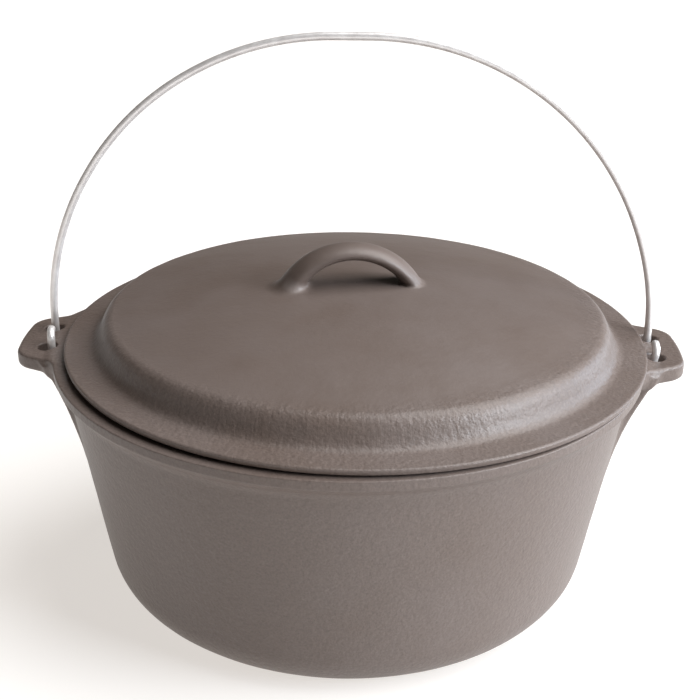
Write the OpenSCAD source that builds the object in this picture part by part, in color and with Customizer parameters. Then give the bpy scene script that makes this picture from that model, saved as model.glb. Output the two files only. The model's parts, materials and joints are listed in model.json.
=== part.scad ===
// Cast iron dutch oven with a cast lid and a steel wire bail handle.
// Millimetres, +Z up. The origin is the centre of the flat base, and the ears stand out along X.

/* [Pot] */
// Height from the flat base to the top of the rim
pot_h = 129.5; // [118:0.5:150]
// Outer radius of the rim band
rim_r = 149.5; // [146.5:0.5:150]
// Height of the plain rim band
rim_h = 4.5; // [3:0.5:8]
// Outer radius of the wall's slope, carried up to the top of the rim
wall_top_r = 145.4; // [144.5:0.1:147]
// Slope of the wall from upright, in degrees
wall_taper = 10; // [8:0.1:12]
// Outer radius of the round corner between base and wall
corner_r = 28; // [24:1:36]
// Thickness of the wall
wall_t = 4.8; // [4:0.1:5.5]
// Thickness of the base
base_t = 6; // [5:0.1:8]

/* [Ears] */
// How far the ears reach from the centre of the pot
ear_reach = 169; // [168:0.1:171]
// Half of the length of an ear's straight end
ear_end_y = 14; // [11:0.5:15]
// Radius of the two outer corners of an ear
ear_corner_r = 13; // [10:0.5:15]
// How far an ear's sides slope in towards its end, in degrees
ear_side_slope = 25; // [20:1:28]
// Thickness of an ear
ear_t = 8; // [7:0.1:8.5]
// How far the top of an ear lies under the top of the rim
ear_drop = 0.8; // [0.4:0.1:2]
// Height of the two webs under each ear
web_h = 31; // [26:1:36]
// Thickness of a web
web_t = 8; // [6:0.1:8.5]
// Radius of the two bail holes in each ear
hole_r = 5; // [4.8:0.1:5.2]

/* [Lid] */
// Outer radius of the lid
lid_r = 147.6; // [147:0.1:148.5]
// Height of the lid's upright edge
lid_edge_h = 2.9; // [2.5:0.1:4]
// Thickness of the casting away from the edge
lid_t = 4.6; // [4:0.1:5.5]
// Radius where the flat flange ends and the shoulder starts
flange_r = 136; // [134.5:0.5:138]
// Radius where the shoulder ends and the crown starts
crown_r = 123; // [116:0.5:124]
// Height of the crown above the seat where the shoulder ends
crown_edge_h = 17.5; // [15:0.5:20]
// Height of the crown above the seat at its centre
crown_h = 31; // [28:0.5:34]
// Depth of the locating bead under the lid
bead_h = 4; // [3:0.1:5]
// Fine gap between lid and rim, where the as-cast faces meet at high spots only
seat_gap = 0.5; // [0.3:0.1:0.8]
// How far the lid lies to +X in its play on the rim
lid_play_x = 3.5; // [-3.5:0.1:3.5]
// How far the lid lies to +Y in its play on the rim
lid_play_y = 1; // [-1:0.1:1]
// How far the lid is turned on the rim, in degrees
lid_turn = 9; // [-180:1:180]

/* [Lid handle] */
// Radius of the handle's arch, to the middle of the bar
arch_r = 37.9; // [36:0.1:40]
// How far the arch's centre lies below the top of the crown
arch_sink = 21; // [20:0.1:22]
// How far the middle of the arch lies from the lid's centre
arch_shift = -1.5; // [-4:0.5:4]
// Thickness of the bar, across the arch
bar_t = 8.2; // [7:0.1:9]
// Width of the bar
bar_w = 18; // [13:0.1:20]

/* [Bail] */
// Diameter of the steel wire
wire_d = 4; // [3.6:0.1:4.2]
// Half of the distance between the two upright legs
bail_half_w = 155; // [154.6:0.1:155.4]
// Height of the bail above the middle of the ears
bail_h = 158.5; // [157:0.5:190]
// Radius of the arch's two quarter rounds, which a short straight top joins
bail_side_r = 145.5; // [140:0.5:150]
// Distance of the wire from the middle of the bridge between the two holes
hook_r = 12.5; // [12.3:0.1:12.7]
// How far the hook's end rises straight above the middle of the ear
tip_rise = 7; // [5:0.1:7]
// Radius of the bend that turns the hook's end back
tip_bend_r = 4; // [4:0.1:4.2]
// Length of the straight end of the hook
tip_len = 2; // [1:0.1:3]

/* [Hidden] */

// Smoothness of the round faces
$fn = 96;

// Points of an arc about c with radius r, from angle a0 to a1 in n steps
function arc(c, r, a0, a1, n) =
    [for (i = [0:n]) let (a = a0 + (a1 - a0) * i / n) c + r * [cos(a), sin(a)]];

// Points of a cubic curve that leaves p0 towards p1 and reaches p3 from p2
function curve(p0, p1, p2, p3, n) =
    [for (i = [0:n]) let (t = i / n, u = 1 - t)
        u * u * u * p0 + 3 * u * u * t * p1 + 3 * u * t * t * p2 + t * t * t * p3];

// Radius of a straight sloping wall at height z, when it has radius top_r at the rim's top
function wall_r(top_r, z) = top_r - (pot_h - z) * tan(wall_taper);

// Centre radius of a corner of radius r that touches that wall and a floor at height floor_z
function corner_centre_r(top_r, r, floor_z) =
    top_r - (r + (pot_h - floor_z - r) * sin(wall_taper)) / cos(wall_taper);

// Pot
edge_r = 1.5;
cove_h = 9;
cavity_top_r = wall_top_r - wall_t / cos(wall_taper);
inner_corner_r = corner_r - 5;
cove_z = pot_h - rim_h - cove_h;
cove_r = wall_r(wall_top_r, cove_z);

// Ears, webs and bail holes
ear_top_z = pot_h - ear_drop;
ear_mid_z = ear_top_z - ear_t / 2;
ear_in_x = 130;
web_y = 26.5;
web_out_x = 148.5;
web_in_x = 120;
web_foot_z = ear_top_z - ear_t - web_h;
web_foot_x = sqrt(pow(wall_r(wall_top_r, web_foot_z), 2) - pow(web_y, 2));
web_foot_h = 2;
overlap = 1;

// Lid: the outline of its top face, from the centre to the edge, above the seat
crown_drop = crown_h - crown_edge_h;
crown_sphere_r = (crown_r * crown_r + crown_drop * crown_drop) / (2 * crown_drop);
crown_slope = asin(crown_r / crown_sphere_r);
flange_slope = 4;
flange_h = lid_edge_h + (lid_r - flange_r) * tan(flange_slope);
shoulder_pull = 8;
crown_arc = arc([0, crown_h - crown_sphere_r], crown_sphere_r, 90, 90 - crown_slope, 10);
shoulder_curve = curve(
    [crown_r, crown_edge_h],
    [crown_r + shoulder_pull * cos(crown_slope), crown_edge_h - shoulder_pull * sin(crown_slope)],
    [flange_r - shoulder_pull * cos(flange_slope), flange_h + shoulder_pull * sin(flange_slope)],
    [flange_r, flange_h], 14);
lid_edge_r = 1;
lid_edge_arc = arc([lid_r - lid_edge_r, lid_edge_h - lid_edge_r], lid_edge_r, 90, 0, 4);
bead_out_r = 136.5;
bead_w = 4;
// The lower face follows the upper one, moved in and down
function below(p) = [max(0, p[0] - lid_t * 0.7), p[1] - lid_t];
crown_below = [for (p = crown_arc) below(p)];
shoulder_below = [for (i = [1:9]) below(shoulder_curve[i])];

// Lid handle: the arch ends inside the crown
arch_end = 27.5;
arch_centre_h = crown_h - arch_sink;

// Bail
tip_end_turn = 90;
hook_x = bail_half_w;
side_centre_x = bail_half_w - bail_side_r;
side_centre_z = bail_h - bail_side_r;

// The pot without its cavity: base, corner, wall, cove and rim band
module pot_outside() {
    corner_x = corner_centre_r(wall_top_r, corner_r, 0);
    rotate_extrude() polygon(concat(
        [[0, 0]],
        arc([corner_x, corner_r], corner_r, -90, -wall_taper, 16),
        curve([cove_r, cove_z], [cove_r + 1, cove_z + 5], [rim_r - 1, pot_h - rim_h - 2],
              [rim_r, pot_h - rim_h], 6),
        arc([rim_r - edge_r, pot_h - edge_r], edge_r, 0, 90, 4),
        [[0, pot_h]]));
}

// The space inside the pot, open at the top over a small rounded edge
module pot_cavity() {
    corner_x = corner_centre_r(cavity_top_r, inner_corner_r, base_t);
    mouth_z = pot_h - edge_r;
    rotate_extrude() polygon(concat(
        [[0, base_t]],
        arc([corner_x, base_t + inner_corner_r], inner_corner_r, -90, -wall_taper, 16),
        [[wall_r(cavity_top_r, mouth_z), mouth_z], [cavity_top_r + edge_r, pot_h],
         [cavity_top_r + edge_r, pot_h + overlap], [0, pot_h + overlap]]));
}

// A flat ear: a straight end between two round corners, and sides that spread towards the pot
module ear() {
    corner_x = ear_reach - ear_corner_r;
    side_x = corner_x + ear_corner_r * sin(ear_side_slope);
    side_y = ear_end_y + ear_corner_r * cos(ear_side_slope);
    in_y = side_y + (side_x - ear_in_x) * tan(ear_side_slope);
    translate([0, 0, ear_mid_z]) linear_extrude(ear_t, center = true) {
        polygon([
            [ear_in_x, -in_y], [side_x, -side_y], [corner_x, -ear_end_y], [ear_reach, -ear_end_y],
            [ear_reach, ear_end_y], [corner_x, ear_end_y], [side_x, side_y], [ear_in_x, in_y]]);
        for (y = [-ear_end_y, ear_end_y]) translate([corner_x, y]) circle(r = ear_corner_r);
    }
}

// A web that carries an ear on the wall
module web(y) {
    translate([0, y, 0]) rotate([90, 0, 0]) linear_extrude(web_t, center = true) polygon([
        [web_in_x, ear_mid_z], [web_out_x, ear_mid_z], [web_out_x, ear_top_z - ear_t],
        [web_foot_x, web_foot_z], [web_in_x, web_foot_z - web_foot_h]]);
}

module pot() {
    color("dimgray") difference() {
        union() {
            pot_outside();
            for (side = [0, 180]) rotate(side) {
                ear();
                for (y = [-web_y, web_y]) web(y);
            }
        }
        pot_cavity();
        for (x = [-hook_x, hook_x], y = [-hook_r, hook_r])
            translate([x, y, ear_mid_z]) cylinder(h = ear_t + 2 * overlap, r = hole_r, center = true);
    }
}

// The round of the lid: crown, shoulder, flange and the locating bead below it
module lid_plate() {
    rotate_extrude() polygon(concat(
        crown_arc,
        [for (i = [1:14]) shoulder_curve[i]],
        lid_edge_arc,
        [[lid_r, 0], [bead_out_r, 0], [bead_out_r - bead_h, -bead_h],
         [bead_out_r - bead_h - bead_w, -bead_h]],
        [for (i = [len(shoulder_below) - 1:-1:0]) shoulder_below[i]],
        [for (i = [len(crown_below) - 1:-1:0]) crown_below[i]]));
}

// The arched handle, an oval bar that ends inside the crown
module lid_handle() {
    translate([arch_shift, 0, arch_centre_h]) rotate([90, 0, 0]) rotate(arch_end)
        rotate_extrude(angle = 180 - 2 * arch_end)
            polygon([for (a = [0:15:345]) [arch_r + bar_t / 2 * cos(a), bar_w / 2 * sin(a)]]);
}

module lid() {
    color("gray") translate([lid_play_x, lid_play_y, pot_h + seat_gap]) rotate(lid_turn) {
        lid_plate();
        lid_handle();
    }
}

// A piece of wire bent to radius r about the origin, from angle a0 on through the angle turn, in XZ
module bent_wire(r, a0, turn) {
    rotate([90, 0, 0]) rotate(a0) rotate_extrude(angle = turn)
        translate([r, 0]) circle(d = wire_d);
}

// A straight piece of wire that rises from the origin
module straight_wire(length) {
    cylinder(h = length, d = wire_d);
}

// The arch: two upright legs, two quarter rounds and a short straight top
module arch() {
    for (side = [0, 1]) mirror([side, 0, 0]) {
        translate([hook_x, 0, 0]) straight_wire(side_centre_z);
        translate([side_centre_x, 0, side_centre_z]) bent_wire(bail_side_r, 0, 90);
    }
    translate([-side_centre_x, 0, bail_h]) rotate([0, 90, 0]) straight_wire(2 * side_centre_x);
}

// The hook around the bridge: half a turn below, a short rise, and the end turned back
module hook() {
    translate([hook_x, 0, 0]) rotate(90) {
        bent_wire(hook_r, 180, 180);
        translate([-hook_r, 0, 0]) straight_wire(tip_rise);
        translate([-hook_r + tip_bend_r, 0, tip_rise]) bent_wire(tip_bend_r, 180, -tip_end_turn);
        translate([-hook_r + tip_bend_r, 0, tip_rise + tip_bend_r]) rotate([0, 90, 0])
            straight_wire(tip_len);
    }
}

module bail() {
    color("silver") translate([0, 0, ear_mid_z]) {
        translate([0, hook_r, 0]) arch();
        for (side = [0, 1]) mirror([side, 0, 0]) hook();
    }
}

pot();
lid();
bail();
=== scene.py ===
"""The look of the cast iron dutch oven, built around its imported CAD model.

The pot and the lid are castings. Each is the zero level of a distance field, in which the
turned round, the ears, webs and handle flow into each other with cast fillets. The bail is
a drawn wire swept along its own path. Lengths in the shape code are in millimetres.
"""

import json
import math

import bpy
import numpy as np
from mathutils import Matrix, Vector


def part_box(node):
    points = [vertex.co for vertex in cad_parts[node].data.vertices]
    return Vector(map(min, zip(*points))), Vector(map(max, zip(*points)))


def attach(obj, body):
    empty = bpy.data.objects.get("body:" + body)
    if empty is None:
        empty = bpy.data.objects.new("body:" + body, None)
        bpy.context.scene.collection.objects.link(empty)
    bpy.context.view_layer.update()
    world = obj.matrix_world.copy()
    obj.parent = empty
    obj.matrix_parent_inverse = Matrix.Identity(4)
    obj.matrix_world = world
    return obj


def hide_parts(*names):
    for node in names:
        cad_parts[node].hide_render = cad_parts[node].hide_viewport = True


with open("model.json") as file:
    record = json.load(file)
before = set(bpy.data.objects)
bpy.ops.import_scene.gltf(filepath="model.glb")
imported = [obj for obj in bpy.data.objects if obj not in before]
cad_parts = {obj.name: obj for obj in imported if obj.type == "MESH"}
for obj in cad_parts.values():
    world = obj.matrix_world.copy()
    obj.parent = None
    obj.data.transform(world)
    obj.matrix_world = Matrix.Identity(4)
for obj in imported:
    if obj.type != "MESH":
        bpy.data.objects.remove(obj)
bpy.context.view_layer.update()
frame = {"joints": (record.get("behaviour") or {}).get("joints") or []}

MM = 0.001

# ---------------------------------------------------------------- what the frame says
pot_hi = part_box("pot")[1]
lid_lo, lid_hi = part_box("lid")
bail_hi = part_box("bail")[1]
swing = next(j for j in frame["joints"] if j["name"] == "bail_swing")

RIM_Z = pot_hi.z / MM
RIM_R = pot_hi.y / MM
REACH = pot_hi.x / MM
PIVOT_Z = swing["pos_m"][2] / MM
LID_X = (lid_lo.x + lid_hi.x) / 2 / MM
LID_Y = (lid_lo.y + lid_hi.y) / 2 / MM
LID_R = (lid_hi.x - lid_lo.x) / 2 / MM
BEAD_H = 4.0
SEAT_Z = lid_lo.z / MM + BEAD_H
LID_TOP = lid_hi.z / MM - SEAT_Z
WIRE_R = 2.0
LEG_X = bail_hi.x / MM - WIRE_R
BAIL_TOP = bail_hi.z / MM - WIRE_R - PIVOT_Z

# The lid is turned on the rim, and rocks down at +X and up at -X.
LID_TURN = math.radians(9)
LID_ROCK = math.radians(0.3)
LID_ROCK_Z = 0.45


# ---------------------------------------------------------------- outlines
def arc(cx, cz, r, a0, a1, n):
    """Points of an arc from angle a0 to a1, in degrees."""
    a = np.radians(np.linspace(a0, a1, n + 1))
    return [(cx + r * math.cos(t), cz + r * math.sin(t)) for t in a]


def cubic(p0, p1, p2, p3, n):
    """Points of a Bezier curve with four control points."""
    t = np.linspace(0, 1, n + 1)[:, None]
    u = 1 - t
    p0, p1, p2, p3 = map(np.array, (p0, p1, p2, p3))
    return [tuple(p) for p in u**3 * p0 + 3 * u * u * t * p1 + 3 * u * t * t * p2 + t**3 * p3]


# ---------------------------------------------------------------- distance fields
class Turned:
    """Signed distance to a turned solid, kept on a fine grid over radius and height.

    The outline runs from the axis out and back to the axis; the axis itself is no edge.
    """

    def __init__(self, outline, r_max, z_min, z_max, step=0.3):
        self.r0, self.z0, self.step = -2 * step, z_min, step
        r = np.arange(self.r0, r_max + step, step)
        z = np.arange(z_min, z_max + step, step)
        rr, zz = np.meshgrid(np.abs(r), z, indexing="ij")
        d2 = np.full(rr.shape, 1e9)
        inside = np.zeros(rr.shape, bool)
        pts = np.array(outline, float)
        for i, (a, b) in enumerate(zip(pts, np.roll(pts, -1, 0))):
            if not (abs(a[0]) < 1e-6 and abs(b[0]) < 1e-6):
                ab = b - a
                t = ((rr - a[0]) * ab[0] + (zz - a[1]) * ab[1]) / max(ab @ ab, 1e-12)
                t = np.clip(t, 0, 1)
                d2 = np.minimum(d2, (rr - a[0] - t * ab[0]) ** 2 + (zz - a[1] - t * ab[1]) ** 2)
            crosses = (a[1] > zz) != (b[1] > zz)
            dz = b[1] - a[1] if abs(b[1] - a[1]) > 1e-12 else 1e-12
            inside ^= crosses & (rr < a[0] + (zz - a[1]) * (b[0] - a[0]) / dz)
        self.grid = np.where(inside, -1, 1) * np.sqrt(d2)

    def __call__(self, r, z):
        g = self.grid
        u = np.clip((r - self.r0) / self.step, 0, g.shape[0] - 1.001)
        v = np.clip((z - self.z0) / self.step, 0, g.shape[1] - 1.001)
        i, j = u.astype(int), v.astype(int)
        u, v = u - i, v - j
        low = g[i, j] * (1 - v) + g[i, j + 1] * v
        high = g[i + 1, j] * (1 - v) + g[i + 1, j + 1] * v
        return low * (1 - u) + high * u


def smin(a, b, k):
    """The smaller of two distances, with a fillet of about k where they meet."""
    h = np.maximum(k - np.abs(a - b), 0) / k
    return np.minimum(a, b) - h * h * k / 4


def smax(a, b, k):
    """The larger of two distances, with an edge rounded by about k where they meet."""
    return -smin(-a, -b, k)


class Bumps:
    """Smooth random unevenness of a casting, about one unit high, with a given wavelength."""

    CELLS = 32
    OFFSET = 1000.0

    def __init__(self, seed, wavelength):
        self.values = np.random.default_rng(seed).uniform(-1, 1, (self.CELLS,) * 3)
        self.scale = 2.0 / wavelength

    def __call__(self, p):
        q = p * self.scale + self.OFFSET
        i = np.floor(q).astype(int)
        f = q - i
        f = f * f * (3 - 2 * f)
        total = 0.0
        for c in range(8):
            o = np.array([c & 1, c >> 1 & 1, c >> 2 & 1])
            w = np.prod(np.where(o, f, 1 - f), axis=1)
            j = (i + o) % self.CELLS
            total = total + w * self.values[j[:, 0], j[:, 1], j[:, 2]]
        return total


# ---------------------------------------------------------------- meshing
def disc_columns(radii, squeeze):
    """Points of concentric squares bent into circles, closer together along X by squeeze."""
    n = len(radii) - 1
    i, j = np.meshgrid(np.arange(-n, n + 1), np.arange(-n, n + 1), indexing="ij")
    r = np.array(radii, float)[np.maximum(np.abs(i), np.abs(j))]
    flat = np.abs(i) >= np.abs(j)
    a = np.where(flat, j / np.where(i == 0, 1, i), 2 - i / np.where(j == 0, 1, j)) * math.pi / 4
    a = a + np.where(np.where(flat, i, j) < 0, math.pi, 0)
    a = a - squeeze / 2 * np.sin(2 * a)
    return r * np.cos(a), r * np.sin(a)


def in_batches(field, p, size=400000):
    """Values of a field at many points, a batch at a time to save memory."""
    return np.concatenate([field(p[i : i + size]) for i in range(0, len(p), size)])


def level_surface(field, x, y, z):
    """Vertices and quads of the zero level of a field, on columns x, y with levels z."""
    corner = np.stack(
        [np.repeat(x[..., None], len(z), 2), np.repeat(y[..., None], len(z), 2),
         np.broadcast_to(z, x.shape + (len(z),))], -1)
    value = in_batches(field, corner.reshape(-1, 3)).reshape(corner.shape[:3])
    inside = value < 0
    offsets = [(a, b, c) for a in (0, 1) for b in (0, 1) for c in (0, 1)]
    shape = tuple(s - 1 for s in value.shape)

    def shifted(array, o):
        return array[o[0] : o[0] + shape[0], o[1] : o[1] + shape[1], o[2] : o[2] + shape[2]]

    count = sum(shifted(inside, o).astype(np.int8) for o in offsets)
    cells = np.stack(np.nonzero((count > 0) & (count < 8)), 1)
    number = np.full(shape, -1)
    number[tuple(cells.T)] = np.arange(len(cells))

    total, hits = np.zeros((len(cells), 3)), np.zeros(len(cells))
    for a in offsets:
        for axis in range(3):
            if a[axis]:
                continue
            b = tuple(1 if k == axis else a[k] for k in range(3))
            ia, ib = tuple((cells + a).T), tuple((cells + b).T)
            fa, fb = value[ia], value[ib]
            cut = (fa < 0) != (fb < 0)
            t = np.where(cut, fa / np.where(cut, fa - fb, 1), 0)[:, None]
            total += np.where(cut[:, None], corner[ia] * (1 - t) + corner[ib] * t, 0)
            hits += cut
    points = total / hits[:, None]

    quads = []
    for axis in range(3):
        u, v = (axis + 1) % 3, (axis + 2) % 3
        step = np.eye(3, dtype=int)
        low = tuple(slice(0, -1) if k == axis else slice(1, -1) for k in range(3))
        high = tuple(slice(1, None) if k == axis else slice(1, -1) for k in range(3))
        a_in, b_in = inside[low], inside[high]
        for outward in (True, False):
            edge = np.stack(np.nonzero((a_in & ~b_in) if outward else (~a_in & b_in)), 1)
            edge = edge + (1 - step[axis])
            ring = [edge - step[u] - step[v], edge - step[v], edge, edge - step[u]]
            if not outward:
                ring = ring[::-1]
            quads.append(np.stack([number[tuple(c.T)] for c in ring], 1))
    return points, np.concatenate(quads)


def slope(field, p, h=0.25):
    """Gradient of a field at the points."""
    g = np.stack([in_batches(field, p + h * e) - in_batches(field, p - h * e) for e in np.eye(3)], 1)
    return g / (2 * h)


def settle(field, p, rounds=5, least_slope=0.05, longest_move=1.0):
    """Moves points onto the zero level."""
    for _ in range(rounds):
        g = slope(field, p)
        size = np.maximum((g * g).sum(1), least_slope)
        move = g * (in_batches(field, p) / size)[:, None]
        length = np.linalg.norm(move, axis=1, keepdims=True)
        p = p - move * np.minimum(1, longest_move / np.maximum(length, 1e-9))
    return p


def make_object(name, points, faces, body, nodes, material, normals=None):
    """A piece of the visual, from points in millimetres, that rides on a body of the frame."""
    mesh = bpy.data.meshes.new(name)
    mesh.from_pydata((points * MM).tolist(), [], faces)
    mesh.update()
    mesh.shade_smooth()
    if normals is not None:
        mesh.normals_split_custom_set_from_vertices(normals.tolist())
    mesh.materials.append(material)
    o = bpy.data.objects.new(name, mesh)
    bpy.context.scene.collection.objects.link(o)
    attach(o, body)
    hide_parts(*nodes)
    return o


wide_waves = Bumps(1, 46)
waves = Bumps(2, 17)
ripples = Bumps(3, 7)


def skin(p):
    """Height of the uneven cast skin above the smooth form."""
    return 0.10 * wide_waves(p) + 0.05 * waves(p) + 0.025 * ripples(p)


def cast(name, field, share, x, y, z, body, nodes, material, h=0.4):
    """A casting: the zero level of its field, with the given share of the skin laid on it."""
    points, quads = level_surface(field, x, y, np.array(z, float))
    points = settle(field, points)
    g = slope(field, points)
    normals = g / np.maximum(np.linalg.norm(g, axis=1, keepdims=True), 1e-9)
    part = share(points)[:, None]
    rise = np.stack([skin(points + h * e) - skin(points - h * e) for e in np.eye(3)], 1) / (2 * h)
    rise -= normals * (rise * normals).sum(1)[:, None]
    points = points + normals * skin(points)[:, None] * part
    normals = normals - rise * part
    normals /= np.linalg.norm(normals, axis=1, keepdims=True)
    return make_object(name, points, quads.tolist(), body, nodes, material, normals)


def levels(*runs):
    """Levels from the first value through (end, step) runs."""
    out = [runs[0]]
    for end, step in runs[1:]:
        n = max(1, round((end - out[-1]) / step))
        out += list(np.linspace(out[-1], end, n + 1)[1:])
    return out


# ---------------------------------------------------------------- the pot
WALL_TOP_R = RIM_R - 4.1
TAPER_DEG = 10.0
TAPER = math.radians(TAPER_DEG)
WALL_T = 4.8
BASE_T = 6.0
CORNER_R = 28.0
INNER_CORNER_R = 23.0
RIM_H = 4.5
RIM_EDGE_R = 0.6
EAR_T = 8.0
EAR_CORNER_R = 13.0
EAR_END_Y = 14.2
EAR_TOP_EDGE = 2.0
EAR_LOW_EDGE = 2.5
EAR_END_BULGE = 0.7
EAR_BACK = 1.2
EAR_SIDE = math.radians(25)
WEB_Y = 26.5
WEB_T = 8.0
WEB_IN_X = 120.0
WEB_OUT_X = 148.5
WEB_H = 31.0
COVE_H = 9.0
MOUTH_EDGE = 1.5
HOLE_R = 5.0

# The two ears of the casting are not quite alike: how much further each one reaches.
RIGHT_REACH, LEFT_REACH = 0.6, -1.0
RIGHT_WEB, LEFT_WEB = 2.8, 0.9
HOLES = ((155.3, -12.5), (156.0, 12.5), (-153.2, -12.5), (-155.0, 12.5))

# The rim stands a little higher at +X: the lift grows over these runs of X and of height.
RIM_LIFT = 0.3
LIFT_FROM_X, LIFT_TO_X = 85, 120
LIFT_FROM_Z, LIFT_TO_Z = RIM_Z - 8, RIM_Z - 1

# Roundness of the inner corners (fillets) and of the edges.
WALL_FILLET = 6
EAR_FILLET = 4
WEB_EDGE = 2.0
WEB_TOP_EDGE = 1
RIM_TOP_EDGE = 0.8
HOLE_EDGE = 1.0
MOUTH_ROUND = 0.6

# The cavity and the holes are cut this far past the rim's top and the ears' underside.
OPEN_ABOVE = 9
HOLE_BELOW = 12

POT_GRID = dict(r_max=176, z_min=-6, z_max=RIM_Z + 6)

# Share of the cast skin on the rim's flat seat, and the height up to which the foot stays flat.
SEAT_SHARE = 0.3
FOOT_FLAT_H = 6


def wall_r(top_r, z):
    """Radius of a tapered wall at a height, from its radius at the top of the rim."""
    return top_r - (RIM_Z - z) * math.tan(TAPER)


def corner_centre(top_r, r, floor_z):
    """How far out the corner round between a floor and a tapered wall has its centre."""
    return top_r - (r + (RIM_Z - floor_z - r) * math.sin(TAPER)) / math.cos(TAPER)


cove_z = RIM_Z - RIM_H - COVE_H
cove_r = wall_r(WALL_TOP_R, cove_z)
pot_round = Turned(
    [(0, 0)]
    + arc(corner_centre(WALL_TOP_R, CORNER_R, 0), CORNER_R, CORNER_R, -90, -TAPER_DEG, 30)
    + cubic((cove_r, cove_z), (cove_r + 1, cove_z + 5), (RIM_R - 1, RIM_Z - RIM_H - 2),
            (RIM_R, RIM_Z - RIM_H), 10)
    + arc(RIM_R - RIM_EDGE_R, RIM_Z - RIM_EDGE_R, RIM_EDGE_R, 0, 90, 8)
    + [(0, RIM_Z)], **POT_GRID)
cavity_top_r = WALL_TOP_R - WALL_T / math.cos(TAPER)
pot_hollow = Turned(
    [(0, BASE_T)]
    + arc(corner_centre(cavity_top_r, INNER_CORNER_R, BASE_T), BASE_T + INNER_CORNER_R,
          INNER_CORNER_R, -90, -TAPER_DEG, 30)
    + [(wall_r(cavity_top_r, RIM_Z - MOUTH_EDGE), RIM_Z - MOUTH_EDGE),
       (cavity_top_r + MOUTH_EDGE, RIM_Z), (cavity_top_r + MOUTH_EDGE, RIM_Z + OPEN_ABOVE),
       (0, RIM_Z + OPEN_ABOVE)], **POT_GRID)

EAR_MID_Z = PIVOT_Z
EAR_UNDER_Z = EAR_MID_Z - EAR_T / 2
WEB_FOOT_Z = EAR_UNDER_Z - WEB_H
WEB_FOOT_X = math.sqrt(wall_r(WALL_TOP_R, WEB_FOOT_Z) ** 2 - WEB_Y**2)


def ear_plan(x, y):
    """Distance to an ear seen from above. x counts from its end, y outward from its middle."""
    u, v = x + EAR_CORNER_R, y - EAR_END_Y
    side = u * math.sin(EAR_SIDE) + v * math.cos(EAR_SIDE)
    back = u * math.cos(EAR_SIDE) - v * math.sin(EAR_SIDE)
    outside = np.where(v <= 0, u, np.where(back <= 0, side, np.hypot(u, v)))
    bulge = EAR_END_BULGE * np.clip(1 - (y / EAR_END_Y) ** 2, 0, 1)
    return np.where((u <= 0) & (side <= 0), np.maximum(u, side), outside) - EAR_CORNER_R - bulge


def ramp_up(v, lo, hi):
    """A smooth step from 0 at lo to 1 at hi."""
    t = np.clip((v - lo) / (hi - lo), 0, 1)
    return t * t * (3 - 2 * t)


def pot_field(p):
    """Distance to the pot."""
    x, y, z = np.abs(p[:, 0]), np.abs(p[:, 1]), p[:, 2]
    right = p[:, 0] > 0
    high_up = ramp_up(z, LIFT_FROM_Z, LIFT_TO_Z)
    z = z - RIM_LIFT * ramp_up(p[:, 0], LIFT_FROM_X, LIFT_TO_X) * high_up
    r = np.hypot(x, y)
    round_part = pot_round(r, z)
    ear_end = REACH + np.where(right, RIGHT_REACH, LEFT_REACH)
    plan = ear_plan(x - ear_end, np.abs(p[:, 1] - EAR_BACK))
    ear = smax(smax(plan, z - EAR_MID_Z - EAR_T / 2, EAR_TOP_EDGE), EAR_UNDER_Z - z, EAR_LOW_EDGE)
    out = WEB_OUT_X + np.where(right, RIGHT_WEB, LEFT_WEB)
    run, rise = out - WEB_FOOT_X, WEB_H
    under = ((x - WEB_FOOT_X) * rise - (z - WEB_FOOT_Z) * run) / np.hypot(run, rise)
    side = np.abs(y - WEB_Y) - WEB_T / 2
    web = smax(smax(under, side, WEB_EDGE), np.maximum(z - EAR_MID_Z, WEB_IN_X - x), WEB_TOP_EDGE)
    body = smin(round_part, smin(ear, web, EAR_FILLET), WALL_FILLET)
    body = smax(body, z - RIM_Z, RIM_TOP_EDGE)
    hole = np.full(len(p), -99.0)
    for hx, hy in HOLES:
        hole = np.maximum(hole, HOLE_R - np.hypot(p[:, 0] - hx, p[:, 1] - hy))
    drilled = z > EAR_UNDER_Z - HOLE_BELOW
    body = np.where(drilled, smax(body, hole, HOLE_EDGE), body)
    return smax(body, -pot_hollow(r, z), MOUTH_ROUND)


def pot_skin_share(p):
    """Less skin on the flat seat of the rim, and none on the foot, which stands flat."""
    return np.where(p[:, 2] < RIM_Z - 1.0, ramp_up(p[:, 2], 0, FOOT_FLAT_H), SEAT_SHARE)


# ---------------------------------------------------------------- the lid
FLANGE_R = 136.0
FLANGE_SLOPE = 4.0
CROWN_R = 123.0
CROWN_EDGE_H = 17.5
CROWN_H = 31.0
LID_EDGE_H = 2.9
LID_EDGE_R = 0.8
LID_UNDERCUT = 0.5
LID_T = 4.6
PULL = 8.0
BEAD_R = 136.5
BEAD_TIP_W = 4.0
LID_GRID = dict(r_max=156, z_min=-10, z_max=64)
HOLLOW_LOW_Z = -9
HOLLOW_INSET = 0.7
HOLLOW_STEPS = 15
LID_INNER_ROUND = 0.6
FLANGE_H = LID_EDGE_H + (LID_R - FLANGE_R) * math.tan(math.radians(FLANGE_SLOPE))
crown_drop = CROWN_H - CROWN_EDGE_H
crown_ball = (CROWN_R**2 + crown_drop**2) / (2 * crown_drop)
crown_slope = math.degrees(math.asin(CROWN_R / crown_ball))
crown_line = arc(0, CROWN_H - crown_ball, crown_ball, 90, 90 - crown_slope, 24)
cs, sn = math.cos(math.radians(crown_slope)), math.sin(math.radians(crown_slope))
fc, fs = math.cos(math.radians(FLANGE_SLOPE)), math.sin(math.radians(FLANGE_SLOPE))
shoulder_line = cubic((CROWN_R, CROWN_EDGE_H), (CROWN_R + PULL * cs, CROWN_EDGE_H - PULL * sn),
                      (FLANGE_R - PULL * fc, FLANGE_H + PULL * fs), (FLANGE_R, FLANGE_H), 24)
bead_in_r = BEAD_R - BEAD_H - BEAD_TIP_W
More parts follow.
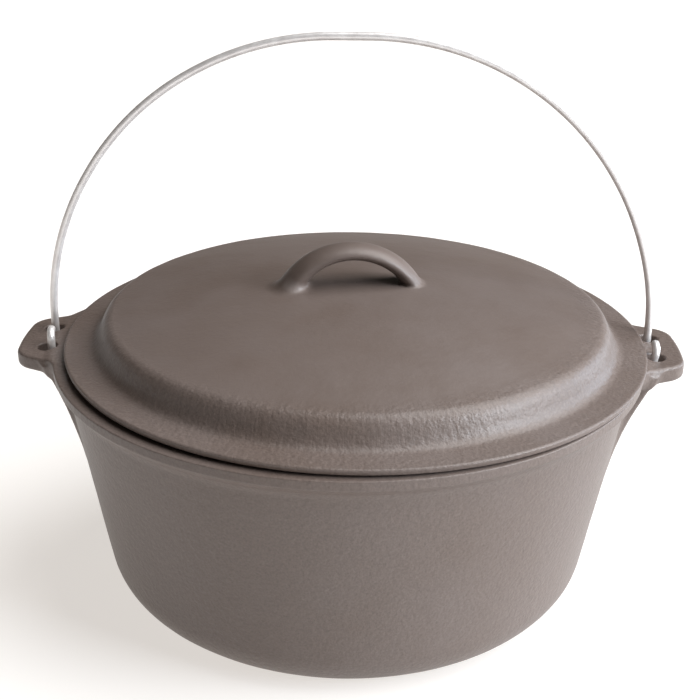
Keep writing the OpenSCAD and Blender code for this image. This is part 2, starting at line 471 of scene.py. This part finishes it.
bead_flank = [(BEAD_R, 0), (BEAD_R - BEAD_H, -BEAD_H), (bead_in_r, -BEAD_H)]
lid_round = Turned(
    crown_line + shoulder_line[1:]
    + arc(LID_R - LID_EDGE_R, LID_EDGE_H - LID_EDGE_R, LID_EDGE_R, 90, 0, 6)
    + [(LID_R - LID_UNDERCUT, 0)] + bead_flank + [(0, -BEAD_H)], **LID_GRID)
under_line = [(max(0, r - LID_T * HOLLOW_INSET), z - LID_T)
              for r, z in crown_line + shoulder_line[1 : HOLLOW_STEPS + 1]]
lid_hollow = Turned(
    under_line + [(bead_in_r, -BEAD_H), (bead_in_r, HOLLOW_LOW_Z), (0, HOLLOW_LOW_Z)], **LID_GRID)

ARCH_R = 37.9
ARCH_SHIFT = -3.5
BAR_T = 8.2
BAR_W = 18.0

# At its feet the bar grows, and the left leg (x < 0) grows more, mostly inward.
FOOT_GROWTH = 0.5
LEFT_LEG_GROWTH = 3.6
LEFT_FOOT_W, RIGHT_FOOT_W = 0.8, -0.6
LEFT_FOOT_FILLET, RIGHT_FOOT_FILLET = 5.0, 2.2
FOOT_DEPTH = 3.5
ARCH_Z = LID_TOP - ARCH_R - BAR_T / 2


def lid_field(p):
    """Distance to the lid, in its own place: origin at the middle of its seat, unturned."""
    x, y, z = p.T
    r = np.hypot(x, y)
    plate = lid_round(r, z)
    x = x - ARCH_SHIFT
    along = np.arctan2(z - ARCH_Z, x)
    low = np.clip(1 - np.sin(along), 0, 1)
    thick = np.where(x < 0, LEFT_LEG_GROWTH, 0.0) * low
    out = np.hypot(x, z - ARCH_Z) - ARCH_R + thick
    half_t = BAR_T / 2 + FOOT_GROWTH * low + thick
    half_w = BAR_W / 2 + np.where(x < 0, LEFT_FOOT_W, RIGHT_FOOT_W) * low
    q = np.hypot(out / half_t, y / half_w)
    g = np.hypot(out / half_t**2, y / half_w**2)
    bar = q * (q - 1) / np.maximum(g, 1e-6)
    bar = np.where(q < 0.05, -half_t, bar)
    bar = np.maximum(bar, CROWN_H - FOOT_DEPTH - z)
    body = smin(plate, bar, np.where(x < 0, LEFT_FOOT_FILLET, RIGHT_FOOT_FILLET))
    return smax(body, -lid_hollow(r, z), LID_INNER_ROUND)


def lid_skin_share(p):
    """Less skin on the seat."""
    return np.where(p[:, 2] > 1.0, 1.0, SEAT_SHARE)


# ---------------------------------------------------------------- the bail
SIDE_R = 145.5
HOOK_R = 12.5
TIP_R = 4.0
TIP_RISE = 6.4
TIP_LEN = 2.0


def bail_path():
    """Points along the middle of the wire, in the bail's own place about its pivot line."""
    cx, cz = LEG_X - SIDE_R, BAIL_TOP - SIDE_R
    tip_y = TIP_R - HOOK_R
    hook = [(LEG_X, tip_y + TIP_LEN, TIP_RISE + TIP_R)]
    for a in np.radians(np.linspace(90, 180, 9)):
        hook.append((LEG_X, tip_y + TIP_R * math.cos(a), TIP_RISE + TIP_R * math.sin(a)))
    for a in np.radians(np.linspace(180, 360, 33)):
        hook.append((LEG_X, HOOK_R * math.cos(a), HOOK_R * math.sin(a)))
    leg = [(LEG_X, HOOK_R, z) for z in np.linspace(2, cz, 25)]
    quarter = [(cx + SIDE_R * math.cos(a), HOOK_R, cz + SIDE_R * math.sin(a))
               for a in np.radians(np.linspace(0, 90, 49))[1:]]
    right = hook + leg + quarter
    left = [(-x, y, z) for x, y, z in right[::-1]]
    return hand_bent(np.array(right + left), cz)


# How far out the bent arch lies from the round one, by the angle from +X.
BENT_AT = [0, 30, 60, 90, 120, 150, 170, 180]
BENT_OUT = [-0.3, -0.8, -0.6, -0.4, -1.3, -1.6, -0.9, -0.6]
RIGHT_LEG_X, LEFT_LEG_X = -0.3, 0.6
RIGHT_HOOK_X, LEFT_HOOK_X = 1.1, -0.2
RIGHT_HOOK_LEAN, LEFT_HOOK_TWIST = 1.6, 3.6
RIGHT_TIP_Z, LEFT_TIP_Z = -1.2, 1.0

# The hooks' askew place fades out up the legs, between these heights above the pivot line.
ASKEW_FROM_Z, ASKEW_TO_Z = 15, 70


def hand_bent(path, centre_z):
    """The wire as bent by hand: shoulders a little flat, hooks a little askew."""
    x, y, z = path.T
    turn = np.degrees(np.arctan2(z - centre_z, x))
    out = np.interp(turn, BENT_AT, BENT_OUT)
    a = np.radians(turn)
    upper = z > centre_z
    low = 1 - ramp_up(z, ASKEW_FROM_Z, ASKEW_TO_Z)
    lean = RIGHT_HOOK_LEAN * np.clip(-y / HOOK_R, 0, 1) * np.clip(1 - z / 10, 0, 1.3)
    twist = np.clip(LEFT_HOOK_TWIST / 2 * (1 - y / HOOK_R), 0, LEFT_HOOK_TWIST)
    shift = np.where(x > 0, RIGHT_HOOK_X - lean, LEFT_HOOK_X + twist) * low
    aside = np.where(upper, out * np.cos(a), np.where(x > 0, RIGHT_LEG_X, LEFT_LEG_X))
    at_tip = np.clip(z / 6, 0, 1) * np.clip(-y / 8, 0, 1)
    lift = np.where(x > 0, RIGHT_TIP_Z, LEFT_TIP_Z) * at_tip
    return path + np.stack([aside + shift, 0 * y, np.where(upper, out * np.sin(a), lift)], 1)


def sweep(path, radius, sides=28):
    """Vertices and faces of a round wire along a path, with its ends closed."""
    d = np.gradient(path, axis=0)
    d /= np.linalg.norm(d, axis=1, keepdims=True)
    n = np.zeros_like(path)
    n[0] = np.cross(d[0], (1.0, 0, 0))
    n[0] /= np.linalg.norm(n[0])
    for i in range(1, len(path)):
        n[i] = n[i - 1] - d[i] * (n[i - 1] @ d[i])
        n[i] /= np.linalg.norm(n[i])
    b = np.cross(d, n)
    a = np.linspace(0, 2 * math.pi, sides, endpoint=False)[None, :, None]
    rings = path[:, None] + radius * (np.cos(a) * n[:, None] + np.sin(a) * b[:, None])
    faces = []
    for i in range(len(path) - 1):
        for k in range(sides):
            m = (k + 1) % sides
            faces.append((i * sides + k, i * sides + m, (i + 1) * sides + m, (i + 1) * sides + k))
    last = (len(path) - 1) * sides
    ends = [list(range(sides))[::-1], list(range(last, last + sides))]
    return rings.reshape(-1, 3), faces + ends


# ---------------------------------------------------------------- materials
class Tree:
    """A material with one shader, and a method for each kind of node that the looks use."""

    def __init__(self, name):
        self.material = bpy.data.materials.new(name)
        self.material.use_nodes = True
        self.nodes, self.links = self.material.node_tree.nodes, self.material.node_tree.links
        self.nodes.clear()
        out = self.nodes.new("ShaderNodeOutputMaterial")
        self.shader = self.nodes.new("ShaderNodeBsdfPrincipled")
        self.links.new(self.shader.outputs[0], out.inputs[0])

    def feed(self, socket, value):
        """Gives a socket another socket's output, a number or a colour."""
        if isinstance(value, (int, float)):
            socket.default_value = value
        elif isinstance(value, tuple):
            socket.default_value = (*value, 1)
        else:
            self.links.new(value, socket)

    def set(self, name, value):
        """Gives an input of the shader a value."""
        self.feed(self.shader.inputs[name], value)

    def coords(self):
        return self.nodes.new("ShaderNodeTexCoord").outputs["Object"]

    def noise(self, coords, scale, detail, rough):
        """Noise between 0 and 1, its scale in cells per metre."""
        n = self.nodes.new("ShaderNodeTexNoise")
        for name, value in (("Vector", coords), ("Scale", scale), ("Detail", detail),
                            ("Roughness", rough)):
            self.feed(n.inputs[name], value)
        return n.outputs["Fac"]

    def ramp(self, value, *stops):
        """Colours or greys at places between 0 and 1."""
        n = self.nodes.new("ShaderNodeValToRGB")
        e = n.color_ramp.elements
        while len(e) < len(stops):
            e.new(0.5)
        for item, (place, colour) in zip(e, stops):
            item.position = place
            item.color = (*colour, 1) if isinstance(colour, tuple) else (colour, colour, colour, 1)
        self.links.new(value, n.inputs[0])
        return n.outputs[0]

    def maths(self, op, a, b):
        n = self.nodes.new("ShaderNodeMath")
        n.operation = op
        self.feed(n.inputs[0], a)
        self.feed(n.inputs[1], b)
        return n.outputs[0]

    def times(self, a, b):
        return self.maths("MULTIPLY", a, b)

    def bump(self, height, distance, strength, normal=None):
        n = self.nodes.new("ShaderNodeBump")
        n.inputs["Strength"].default_value = strength
        n.inputs["Distance"].default_value = distance
        self.links.new(height, n.inputs["Height"])
        if normal is not None:
            self.links.new(normal, n.inputs["Normal"])
        return n.outputs[0]

    def step_up(self, value, lo, hi):
        """A smooth step from 0 at lo to 1 at hi."""
        n = self.nodes.new("ShaderNodeMapRange")
        n.interpolation_type = "SMOOTHSTEP"
        n.inputs["From Min"].default_value = lo
        n.inputs["From Max"].default_value = hi
        self.links.new(value, n.inputs["Value"])
        return n.outputs["Result"]

    def mixed(self, factor, a, b, mode="MIX"):
        n = self.nodes.new("ShaderNodeMix")
        n.data_type = "RGBA"
        n.blend_type = mode
        for k, value in ((0, factor), (6, a), (7, b)):
            self.feed(n.inputs[k], value)
        return n.outputs[2]

    def near(self, coords, place, radius, soft):
        """One inside a ball about a place, nought outside, in millimetres."""
        n = self.nodes.new("ShaderNodeVectorMath")
        n.operation = "DISTANCE"
        self.links.new(coords, n.inputs[0])
        n.inputs[1].default_value = [v * MM for v in place]
        return self.step_up(n.outputs["Value"], (radius + soft) * MM, radius * MM)


DARK_IRON, LIGHT_IRON = (0.119, 0.089, 0.075), (0.136, 0.107, 0.095)

# A painted highlight: the bright patch where the foot of the lid's handle faces up, in millimetres.
FOOT_HIGHLIGHT = (-27.5, -9.0, 161.5)
FOOT_HIGHLIGHT_R, FOOT_HIGHLIGHT_SOFT = 4.0, 3.0
FOOT_HIGHLIGHT_COLOUR = (0.27, 0.23, 0.215)

# How closely the shoulder's streaks lie, around the lid and along its radius.
STREAKS_AROUND, STREAKS_ALONG = 70.0, 60.0


def iron_material():
    """Oiled grey iron: pebbled from the sand, smoother on top of the lid, streaked on its shoulder,
    with a painted highlight on the left foot of the handle.
    """
    t = Tree("cast_iron")
    coords = t.coords()
    split = t.nodes.new("ShaderNodeSeparateXYZ")
    t.links.new(coords, split.inputs[0])
    px, py, pz = split.outputs
    radius = t.maths("POWER", t.maths("ADD", t.times(px, px), t.times(py, py)), 0.5)
    turn = t.maths("ARCTAN2", py, px)

    # How rough the casting is: full off the lid's top, which lies inside 0.114 m and above 0.134 m.
    off_top = t.maths("MAXIMUM", t.step_up(radius, 0.114, 0.124), t.step_up(pz, 0.134, 0.128))
    shoulder = t.times(t.step_up(pz, 0.1345, 0.1375), off_top)
    streak_share = t.times(shoulder, 0.4)

    patches = t.noise(coords, 16, 5, 0.6)
    grain = t.noise(coords, 950, 3, 0.65)
    pebbles = t.noise(coords, 420, 2, 0.55)
    around = t.nodes.new("ShaderNodeCombineXYZ")
    t.links.new(t.times(turn, STREAKS_AROUND), around.inputs[0])
    t.links.new(t.times(radius, STREAKS_ALONG), around.inputs[1])
    streaks = t.noise(around.outputs[0], 1.0, 3, 0.6)

    colour = t.ramp(patches, (0.32, DARK_IRON), (0.70, LIGHT_IRON))
    speckle = t.ramp(grain, (0.30, 0.78), (0.50, 1.0), (0.72, 1.22))
    speckled = t.mixed(1.0, colour, speckle, "MULTIPLY")
    colour = t.mixed(t.times(off_top, 0.8), colour, speckled)
    streak_tone = t.ramp(streaks, (0.3, 0.80), (0.7, 1.18))
    colour = t.mixed(streak_share, colour, t.mixed(1.0, colour, streak_tone, "MULTIPLY"))
    # Painted highlight: a bright patch laid into the base colour where the handle's left foot faces
    # up.
    foot_highlight = t.times(t.near(coords, FOOT_HIGHLIGHT, FOOT_HIGHLIGHT_R, FOOT_HIGHLIGHT_SOFT), 0.6)
    t.set("Base Color", t.mixed(foot_highlight, colour, FOOT_HIGHLIGHT_COLOUR))
    t.set("Roughness", t.ramp(patches, (0.3, 0.42), (0.7, 0.50)))

    pebble_height = t.times(pebbles, t.maths("ADD", t.times(off_top, 0.75), 0.25))
    normal = t.bump(pebble_height, 0.00045, 0.8)
    normal = t.bump(grain, 0.00006, 0.6, normal)
    normal = t.bump(t.times(streaks, streak_share), 0.0004, 0.8, normal)
    t.set("Normal", normal)
    return t.material


def wire_material():
    """Zinc-plated drawn wire."""
    t = Tree("bail_wire")
    spots = t.noise(t.coords(), 160, 3, 0.6)
    t.set("Base Color", t.ramp(spots, (0.3, (0.70, 0.665, 0.65)), (0.75, (0.86, 0.835, 0.82))))
    t.set("Metallic", 0.5)
    t.set("Roughness", t.ramp(spots, (0.3, 0.34), (0.7, 0.46)))
    t.set("Normal", t.bump(spots, 0.00005, 0.4))
    return t.material


def floor_material():
    """White paper that glows a little, so that it stays pale in the pot's shadow."""
    t = Tree("floor_paper")
    t.set("Base Color", (0.4, 0.4, 0.4))
    t.set("Roughness", 0.8)
    t.set("Emission Color", (1, 0.95, 0.90))
    t.set("Emission Strength", 0.66)
    return t.material


# ---------------------------------------------------------------- build the pieces
iron = iron_material()
wire = wire_material()

# Radii and heights of the meshes' columns: a first value, then (end, step) runs, which are
# finest where the surface turns sharply.
POT_RADII = levels(0, (80, 4), (100, 2.4), (140, 2.0), (152, 0.8), (173, 1.05))
POT_LEVELS = levels(-1.3, (1.3, 0.65), (30, 2.0), (84, 2.6), (114, 1.6), (RIM_Z + 1.2, 0.55))
LID_RADII = levels(0, (48, 1.0), (108, 2.6), (121, 1.8), (139, 0.9), (147, 1.6), (149.6, 0.6))
LID_LEVELS = levels(-5.0, (4, 0.5), (20, 1.0), (56, 1.0))

x, y = disc_columns(POT_RADII, 0.5)
cast("pot_casting", pot_field, pot_skin_share, x, y, POT_LEVELS, "pot", ["pot"], iron)

x, y = disc_columns(LID_RADII, 0.0)
lid = cast("lid_casting", lid_field, lid_skin_share, x, y, LID_LEVELS, "lid", ["lid"], iron)
place = (Matrix.Translation(Vector((LID_X, LID_Y, SEAT_Z + LID_ROCK_Z)) * MM)
         @ Matrix.Rotation(LID_ROCK, 4, "Y") @ Matrix.Rotation(LID_TURN, 4, "Z"))
lid.data.transform(place)

points, faces = sweep(bail_path() + np.array([0, 0, PIVOT_Z]), WIRE_R)
make_object("bail_handle", points, faces, "bail", ["bail"], wire)

# ---------------------------------------------------------------- stage
FLOOR_HALF = 12
MIDDLE = (0, 0, 0.1)
scene = bpy.context.scene

floor_mesh = bpy.data.meshes.new("floor")
floor_corners = [(-FLOOR_HALF, -FLOOR_HALF, 0), (FLOOR_HALF, -FLOOR_HALF, 0),
                 (FLOOR_HALF, FLOOR_HALF, 0), (-FLOOR_HALF, FLOOR_HALF, 0)]
floor_mesh.from_pydata(floor_corners, [], [(0, 1, 2, 3)])
floor_mesh.materials.append(floor_material())
floor = bpy.data.objects.new("floor", floor_mesh)
scene.collection.objects.link(floor)

# The room gives a faint warm light, and shows as plain white beyond the floor.
world = bpy.data.worlds.new("studio")
scene.world = world
world.use_nodes = True
nodes, links = world.node_tree.nodes, world.node_tree.links
room = nodes["Background"]
room.inputs["Color"].default_value = (1, 0.90, 0.80, 1)
room.inputs["Strength"].default_value = 0.07
backdrop = nodes.new("ShaderNodeBackground")
backdrop.inputs["Color"].default_value = (1, 1, 1, 1)
seen = nodes.new("ShaderNodeMixShader")
links.new(nodes.new("ShaderNodeLightPath").outputs["Is Camera Ray"], seen.inputs[0])
links.new(room.outputs[0], seen.inputs[1])
links.new(backdrop.outputs[0], seen.inputs[2])
links.new(seen.outputs[0], nodes["World Output"].inputs[0])


def lamp(name, kind, place, energy, colour=(1, 1, 1)):
    """A lamp that shines on the pot's middle."""
    data = bpy.data.lights.new(name, kind)
    data.color = colour
    data.energy = energy
    o = bpy.data.objects.new(name, data)
    o.location = place
    o.rotation_euler = (Vector(MIDDLE) - Vector(place)).to_track_quat("-Z", "Y").to_euler()
    scene.collection.objects.link(o)
    return data


def softbox(name, place, size, power, colour):
    """A rectangular lamp, its size in metres."""
    data = lamp(name, "AREA", place, power, colour)
    data.shape = "RECTANGLE"
    data.size, data.size_y = size


softbox("window", (1.8, -0.75, 0.85), (1.1, 0.8), 55, (0.87, 0.93, 1.0))
softbox("back_window", (2.0, 0.9, 0.4), (1.2, 0.8), 18, (0.70, 0.84, 1.0))
lamp("skylight", "SUN", (1.15, 0.15, 1.9), 4.0).angle = math.radians(60)

# ---------------------------------------------------------------- camera
CAM_TURN, CAM_HEIGHT, CAM_ROLL = map(math.radians, (0.96, 22.83, 0.69))
CAM_AIM = Vector((0, 0, 0.12897))
CAM_DISTANCE = 0.67964

scene.view_settings.view_transform = "Standard"
cam_data = bpy.data.cameras.new("camera")
cam_data.sensor_width = 36
cam_data.lens = 67.73
cam_data.shift_x = 0.0018
cam_data.shift_y = -0.0115
cam = bpy.data.objects.new("camera", cam_data)
scene.collection.objects.link(cam)
scene.camera = cam
back = Vector((math.sin(CAM_TURN) * math.cos(CAM_HEIGHT),
               -math.cos(CAM_TURN) * math.cos(CAM_HEIGHT), math.sin(CAM_HEIGHT)))
side = Vector((math.cos(CAM_TURN), math.sin(CAM_TURN), 0))
right = side * math.cos(CAM_ROLL) + back.cross(side) * math.sin(CAM_ROLL)
up = back.cross(right)
eye = CAM_AIM + back * CAM_DISTANCE
cam.matrix_world = Matrix(((right.x, up.x, back.x, eye.x), (right.y, up.y, back.y, eye.y),
                           (right.z, up.z, back.z, eye.z), (0, 0, 0, 1)))
